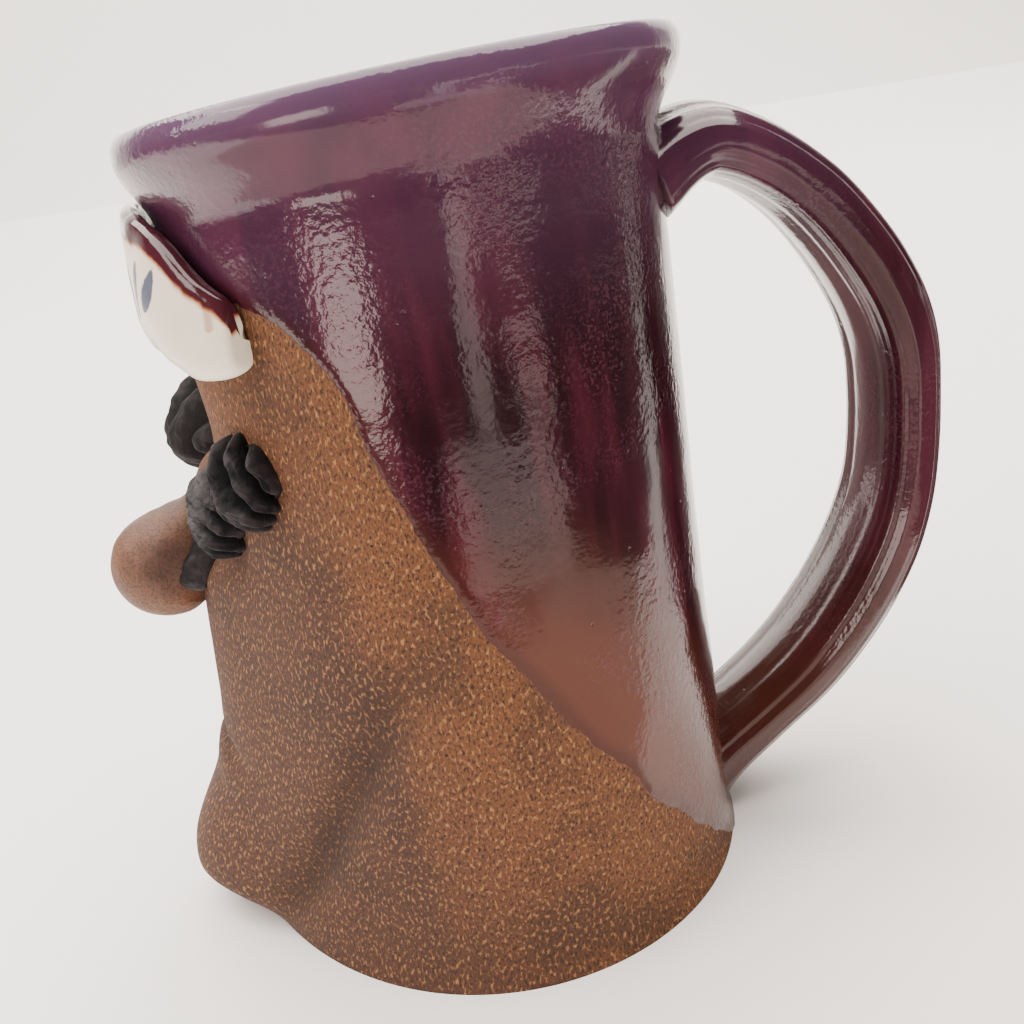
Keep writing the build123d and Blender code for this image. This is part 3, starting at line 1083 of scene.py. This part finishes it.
@dataclass(frozen=True)
class BodyFinish:
    """The body's coats: bare clay in front, maroon glaze behind and over the lip, cream liner inside."""

    clay: SpeckledClay = SpeckledClay()
    glaze: MaroonGlaze = MaroonGlaze()
    liner: str = "#e6e0d4"
    edge: str = "#33140f"
    # the lip colour is partly thinner glaze at the rim and partly painted reflection
    lip: str = "#5f4863"
    clay_relief: float = 0.22
    glaze_relief: float = 0.045

    def build(self) -> bpy.types.Material:
        """One glossy or matte surface, chosen by the distance into each coat.

        Returns:
            The body's material.
        """
        coating = Coating("dipped_stoneware")
        skin = coating.add("ShaderNodeUVMap", uv_map="skin")
        depth, inward, jowl_shade = (
            coating.add("ShaderNodeAttribute", out=2, attribute_name=name)
            for name in ("glaze", "inward", "jowl_shade")
        )
        ragged = coating.add("ShaderNodeTexNoise", {"Vector": coating.place, "Scale": 900.0, "Detail": 2.0})
        frayed = coating.add("ShaderNodeMath", {0: ragged, 1: 0.7, 2: depth}, operation="MULTIPLY_ADD")
        coated = coating.mask(frayed, 0.25, 0.5)
        clay, clay_height = self.clay.colour(coating, skin, depth)
        # painted shade: the clay's dark colour laid along the jowl crease
        clay = coating.coat(clay, self.clay.dark, jowl_shade)
        height = coating.add("ShaderNodeSeparateXYZ", {0: coating.place}, out=2)
        thin = coating.mask(height, 0.082, 0.048, within=coating.mask(depth, 34.0, 6.0))
        glaze = self.glaze.colour(coating, thin)
        # lighter mauve towards the lip: partly thinner glaze at the rim, partly painted reflection
        glaze = coating.coat(glaze, self.lip, (inward, -8.0, -1.0, 0.7))
        glaze = coating.coat(glaze, self.edge, (depth, 3.0, 0.4, 0.6))
        colour = coating.coat(clay, glaze, coated)
        colour = coating.coat(colour, self.liner, (inward, -0.3, 1.6))
        gloss = coating.add("ShaderNodeMix", {0: coated, 2: self.clay.roughness, 3: self.glaze.roughness})
        steps = {2: (clay_height, self.clay_relief), 3: (self.glaze.height(coating), self.glaze_relief)}
        reliefs = {
            at: coating.add("ShaderNodeMath", {0: step, 1: deep}, operation="MULTIPLY")
            for at, (step, deep) in steps.items()
        }
        relief = coating.add("ShaderNodeMix", {0: coated, **reliefs})
        return coating.fire(colour, gloss, relief, 1.0)


@dataclass(frozen=True)
class HandleFinish:
    """The handle's maroon glaze, which breaks to brown on the ridges and towards the foot."""

    glaze: MaroonGlaze = MaroonGlaze(deep="#2b0f17", wine="#421b27", brown="#402019")

    def build(self) -> bpy.types.Material:
        """The maroon glaze over a strap: thin on the ridges and low down.

        Returns:
            The handle's material.
        """
        coating = Coating("dipped_handle")
        down = coating.add("ShaderNodeAttribute", out=2, attribute_name="down")
        ridge = coating.add("ShaderNodeAttribute", out=2, attribute_name="groove")
        both = {0: coating.mask(down, 0.45, 1.0), 1: coating.mask(ridge, 0.15, 0.5, 0.55)}
        thin = coating.add("ShaderNodeMath", both, operation="MAXIMUM")
        colour = self.glaze.colour(coating, thin)
        return coating.fire(colour, self.glaze.roughness, self.glaze.height(coating), 0.03)


@dataclass(frozen=True)
class VisorFinish:
    """Satin cream slip with a maroon glazed edge, a rusty line between them and a cobalt brush sprig."""

    cream: str = "#ddd3c0"
    warm: str = "#d9bd9a"
    rust: str = "#96552c"
    maroon: str = "#3f1a22"
    cobalt: str = "#0c2950"
    slip_roughness: float = 0.34
    glaze_roughness: float = 0.12

    def build(self) -> bpy.types.Material:
        """Cream below, rust where the coats meet, maroon above, cobalt where the brush went.

        Returns:
            The visor's material.
        """
        coating = Coating("slipped_visor")
        edge, leaf, drip = (
            coating.add("ShaderNodeAttribute", out=2, attribute_name=name)
            for name in ("edge", "leaf", "drip")
        )
        wander, cloud, fine = (
            coating.add("ShaderNodeTexNoise", {"Vector": coating.place, "Scale": scale, "Detail": detail})
            for scale, detail in ((260.0, 3.0), (90.0, 3.0), (1500.0, 2.0))
        )
        worn = coating.add("ShaderNodeMath", {0: wander, 1: 2.6, 2: edge}, operation="MULTIPLY_ADD")
        brush = coating.add("ShaderNodeMath", {0: fine, 1: 0.5, 2: leaf}, operation="MULTIPLY_ADD")
        lines = {0: coating.mask(worn, -2.4, -1.4), 1: coating.mask(drip, 0.55, 0.15, 0.55)}
        rusted = coating.add("ShaderNodeMath", lines, operation="MAXIMUM")
        glazed = coating.mask(worn, -1.7, -1.1)
        colour = coating.coat(linear(self.cream), self.warm, (cloud, 0.52, 0.75, 0.5))
        colour = coating.coat(colour, self.cobalt, (brush, 0.42, 0.05, 0.92))
        colour = coating.coat(colour, self.rust, rusted)
        colour = coating.coat(colour, self.maroon, glazed)
        gloss = coating.add("ShaderNodeMix", {0: glazed, 2: self.slip_roughness, 3: self.glaze_roughness})
        return coating.fire(colour, gloss, wander, 0.12)


@dataclass(frozen=True)
class NoseFinish:
    """Finger-smoothed bare stoneware: finer and lighter than the body, with open pores."""

    light: str = "#6c4227"
    dark: str = "#4c2e20"
    pore: str = "#2f1c14"
    roughness: float = 0.6

    def build(self) -> bpy.types.Material:
        """Cloudy clay colour with fine sand and pores of 0.3 mm.

        Returns:
            The nose's material.
        """
        coating = Coating("smoothed_clay")
        cloud, fine = (
            coating.add("ShaderNodeTexNoise", {"Vector": coating.place, "Scale": scale, "Detail": 3.0})
            for scale in (95.0, 2300.0)
        )
        colour = coating.coat(linear(self.light), self.dark, (cloud, 0.35, 0.65))
        colour = coating.coat(colour, self.pore, (fine, 0.56, 0.40, 0.6))
        return coating.fire(colour, self.roughness, fine, 0.12)


@dataclass(frozen=True)
class BlackClayFinish:
    """Black-stained clay, unglazed: soft sheen on the folds, rubbed brownish on their tops."""

    black: str = "#09090e"
    worn: str = "#2e272b"
    roughness: float = 0.58
    ior: float = 1.35

    def build(self) -> bpy.types.Material:
        """Near black in the creases, greyer and browner where the folds stand up.

        Returns:
            The folds' material.
        """
        coating = Coating("black_clay")
        crease = coating.add("ShaderNodeAttribute", out=2, attribute_name="crease")
        patch, fine = (
            coating.add("ShaderNodeTexNoise", {"Vector": coating.place, "Scale": scale, "Detail": detail})
            for scale, detail in ((420.0, 4.0), (1500.0, 3.0))
        )
        rubbed = coating.mask(patch, 0.36, 0.68, within=coating.mask(crease, 0.45, 0.05))
        colour = coating.coat(linear(self.black), self.worn, rubbed)
        return coating.fire(colour, self.roughness, fine, 0.14, self.ior)


@dataclass(frozen=True)
class SoftBox:
    """A soft rectangular light at a spot, aimed at a point; metres and watts."""

    name: str
    spot: Point
    aim: Point
    size: tuple[float, float]
    watts: float
    colour: str = "#fff6ee"
    mirrored: bool = True

    def build(self) -> None:
        """Add the light, unseen by the camera."""
        data = bpy.data.lights.new(self.name, "AREA")
        data.shape = "RECTANGLE"
        data.size, data.size_y = self.size
        data.energy = self.watts
        data.color = linear(self.colour)[:3]
        light = bpy.data.objects.new(self.name, data)
        light.visible_camera = False
        light.visible_glossy = self.mirrored
        way = (Vector(self.aim) - Vector(self.spot)).to_track_quat("-Z", "Y")
        light.matrix_world = Matrix.Translation(self.spot) @ way.to_matrix().to_4x4()
        bpy.context.scene.collection.objects.link(light)


def window(name: str, spot: Point, size: tuple[float, float], watts: float) -> SoftBox:
    """A small warm light that looks straight back over the table and shows in the glaze."""
    return SoftBox(name, spot, (0, 0, spot[2]), size, watts, "#ffeae0")


@dataclass
class Studio:
    """Pale floor, soft lights and the camera, in metres and radians."""

    lens: float = 36.26
    shift: float = 0.0703125
    pitch: float = 0.3473
    roll: float = -0.2081
    eye: Point = (-0.0006, -0.16219, 0.12212)
    sheet_near: float = -0.165
    sheet_side: float = 0.142
    cloth_lift: float = 0.0006
    seen_strength: float = 4.0
    lit_strength: float = 0.06

    def build(self) -> None:
        """Set up everything that isn't the object."""
        self._floor()
        self._world()
        self._cloths()
        for light in self._lights():
            light.build()
        self._camera()

    def _lights(self) -> list[SoftBox]:
        """The room's lights, then the windows that the glaze mirrors.

        Returns:
            The lights.
        """
        return [
            SoftBox("overhead", (0.0, 0.40, 1.30), (0, 0.35, 0), (2.4, 1.8), 110.0),
            SoftBox("back_wall", (0.10, 1.20, 0.40), (0, 0, 0.06), (2.4, 0.8), 9.0),
            SoftBox("key_left", (-0.45, -0.12, 0.40), (0, 0, 0.06), (0.30, 0.30), 2.2),
            SoftBox("fill_low", (-0.02, -0.10, 0.002), (-0.02, -0.10, 0.1), (0.30, 0.10), 0.10, mirrored=False),
            window("window_left", (-0.215, -0.30, 0.067), (0.14, 0.10), 0.33),
            window("window_low", (0.062, -0.172, 0.025), (0.135, 0.038), 0.036),
            window("window_high", (0.050, -0.172, 0.078), (0.024, 0.056), 0.011),
            window("window_top", (0.110, -0.176, 0.106), (0.140, 0.012), 0.014),
            window("window_right", (0.125, -0.172, 0.057), (0.045, 0.018), 0.007),
        ]

    def _stage(self, name: str, points: list, faces: list, tone: str) -> bpy.types.Object:
        """Make a matte sheet that isn't part of the object.

        Args:
            name: Name of the object and its material.
            points: Its corners in metres.
            faces: Its faces as indices of corners.
            tone: Its sRGB hex colour.

        Returns:
            The staged object.
        """
        mesh = bpy.data.meshes.new(name)
        mesh.from_pydata(points, [], faces)
        mesh.polygons.foreach_set("use_smooth", np.ones(len(faces), dtype=bool))
        sheet = bpy.data.objects.new(name, mesh)
        bpy.context.scene.collection.objects.link(sheet)
        material = bpy.data.materials.new(name)
        material.use_nodes = True
        shader = material.node_tree.nodes["Principled BSDF"]
        shader.inputs["Base Color"].default_value = linear(tone)
        shader.inputs["Roughness"].default_value = 0.9
        mesh.materials.append(material)
        return sheet

    def _floor(self) -> None:
        """A wide pale sheet that bends up into a wall far behind."""
        size, start, bend, top = 3.0, 1.0, 0.5, 1.6
        turn = np.linspace(0, np.pi / 2, 24)
        depth = np.concatenate([[-size, start], start + bend * np.sin(turn[1:]), [start + bend]])
        lift = np.concatenate([[0, 0], bend * (1 - np.cos(turn[1:])), [top]])
        points = [(x, y, z) for y, z in zip(depth, lift) for x in (-size, size)]
        faces = [(2 * i, 2 * i + 1, 2 * i + 3, 2 * i + 2) for i in range(len(depth) - 1)]
        self._stage("floor", points, faces, "#f2f1ef")

    def _cloths(self) -> None:
        """Dark cloths round a bright sheet on the table, which only reflections see."""
        near, side, far = self.sheet_near, self.sheet_side, 1.4
        front = [(-far, -far), (far, -far), (far, 0.25), (side, -0.03), (side, near), (-far, near)]
        behind = [(0.12, -0.006), (far, 0.31), (far, 0.98), (0.95, 0.98), (0.25, 0.215), (0.09, 0.04)]
        back = [(0.04, 0.09), (0.04, 0.98), (-0.5, 0.98), (-0.2, 0.09)]
        sheet = [(-0.22, near), (side, near), (side, -0.046), (-0.22, -0.046)]
        for name, outline, tone in (("cloth_front", front, "#241c1e"), ("cloth_side", behind, "#241c1e"),
                                    ("cloth_back", back, "#5c5250"), ("grey_card", sheet, "#b4a8a0")):
            points = [(x, y, self.cloth_lift) for x, y in outline]
            cloth = self._stage(name, points, [tuple(range(len(outline)))], tone)
            cloth.visible_camera = cloth.visible_diffuse = cloth.visible_shadow = False

    def _world(self) -> None:
        """White where it is seen directly, dimmer in what it lights and what reflects it."""
        world = bpy.data.worlds.new("studio")
        world.use_nodes = True
        tree = world.node_tree
        tree.nodes.clear()
        strengths = {"Value": add_node(tree, "ShaderNodeLightPath"), "To Min": self.lit_strength,
                     "To Max": self.seen_strength}
        strength = add_node(tree, "ShaderNodeMapRange", strengths)
        back = add_node(tree, "ShaderNodeBackground", {"Color": linear("#fbfbfb"), "Strength": strength})
        add_node(tree, "ShaderNodeOutputWorld", {"Surface": back})
        bpy.context.scene.world = world

    def _camera(self) -> None:
        """A close camera pitched down at the mug's left side and rolled."""
        data = bpy.data.cameras.new("camera")
        data.lens = self.lens
        data.sensor_width = 36.0
        data.shift_x = self.shift
        data.clip_start = 0.01
        camera = bpy.data.objects.new("camera", data)
        forward = Vector((0, np.cos(self.pitch), -np.sin(self.pitch)))
        level, upright = Vector((1, 0, 0)), Vector((0, np.sin(self.pitch), np.cos(self.pitch)))
        right = level * np.cos(self.roll) + upright * np.sin(self.roll)
        up = upright * np.cos(self.roll) - level * np.sin(self.roll)
        turn = Matrix((right, up, -forward)).transposed().to_4x4()
        camera.matrix_world = Matrix.Translation(self.eye) @ turn
        bpy.context.scene.collection.objects.link(camera)
        bpy.context.scene.camera = camera


def dress(piece: bpy.types.Object, material: bpy.types.Material, node: str) -> None:
    """Give a piece its finish and let it stand for its CAD node.

    Args:
        piece: The piece.
        material: Its finish.
        node: The CAD node that it replaces.
    """
    piece.data.materials.append(material)
    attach(piece, "root")
    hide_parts(node)
    log.info("%s: %d faces, stands for %s", piece.name, len(piece.data.polygons), node)


def main() -> None:
    """Build the mug's pieces in order, then the studio."""
    logging.basicConfig(level=logging.INFO, format="%(name)s %(message)s")
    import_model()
    form = BodyForm.from_frame()
    log.info("body form: height %.1f mm, foot radius %.2f mm", form.height, form.foot_radius)
    dress(ThrownBody(form).build(), BodyFinish().build(), "mug_body")
    dress(StrapHandle(form).build(), HandleFinish().build(), "handle")
    dress(CapVisor(form).build(), VisorFinish().build(), "cap_visor")
    dress(Nose().build(), NoseFinish().build(), "nose")
    black = BlackClayFinish().build()
    for tuft in folded_tufts(form):
        dress(tuft.build(), black, tuft.node)
    Studio().build()


if __name__ == "__main__":
    main()
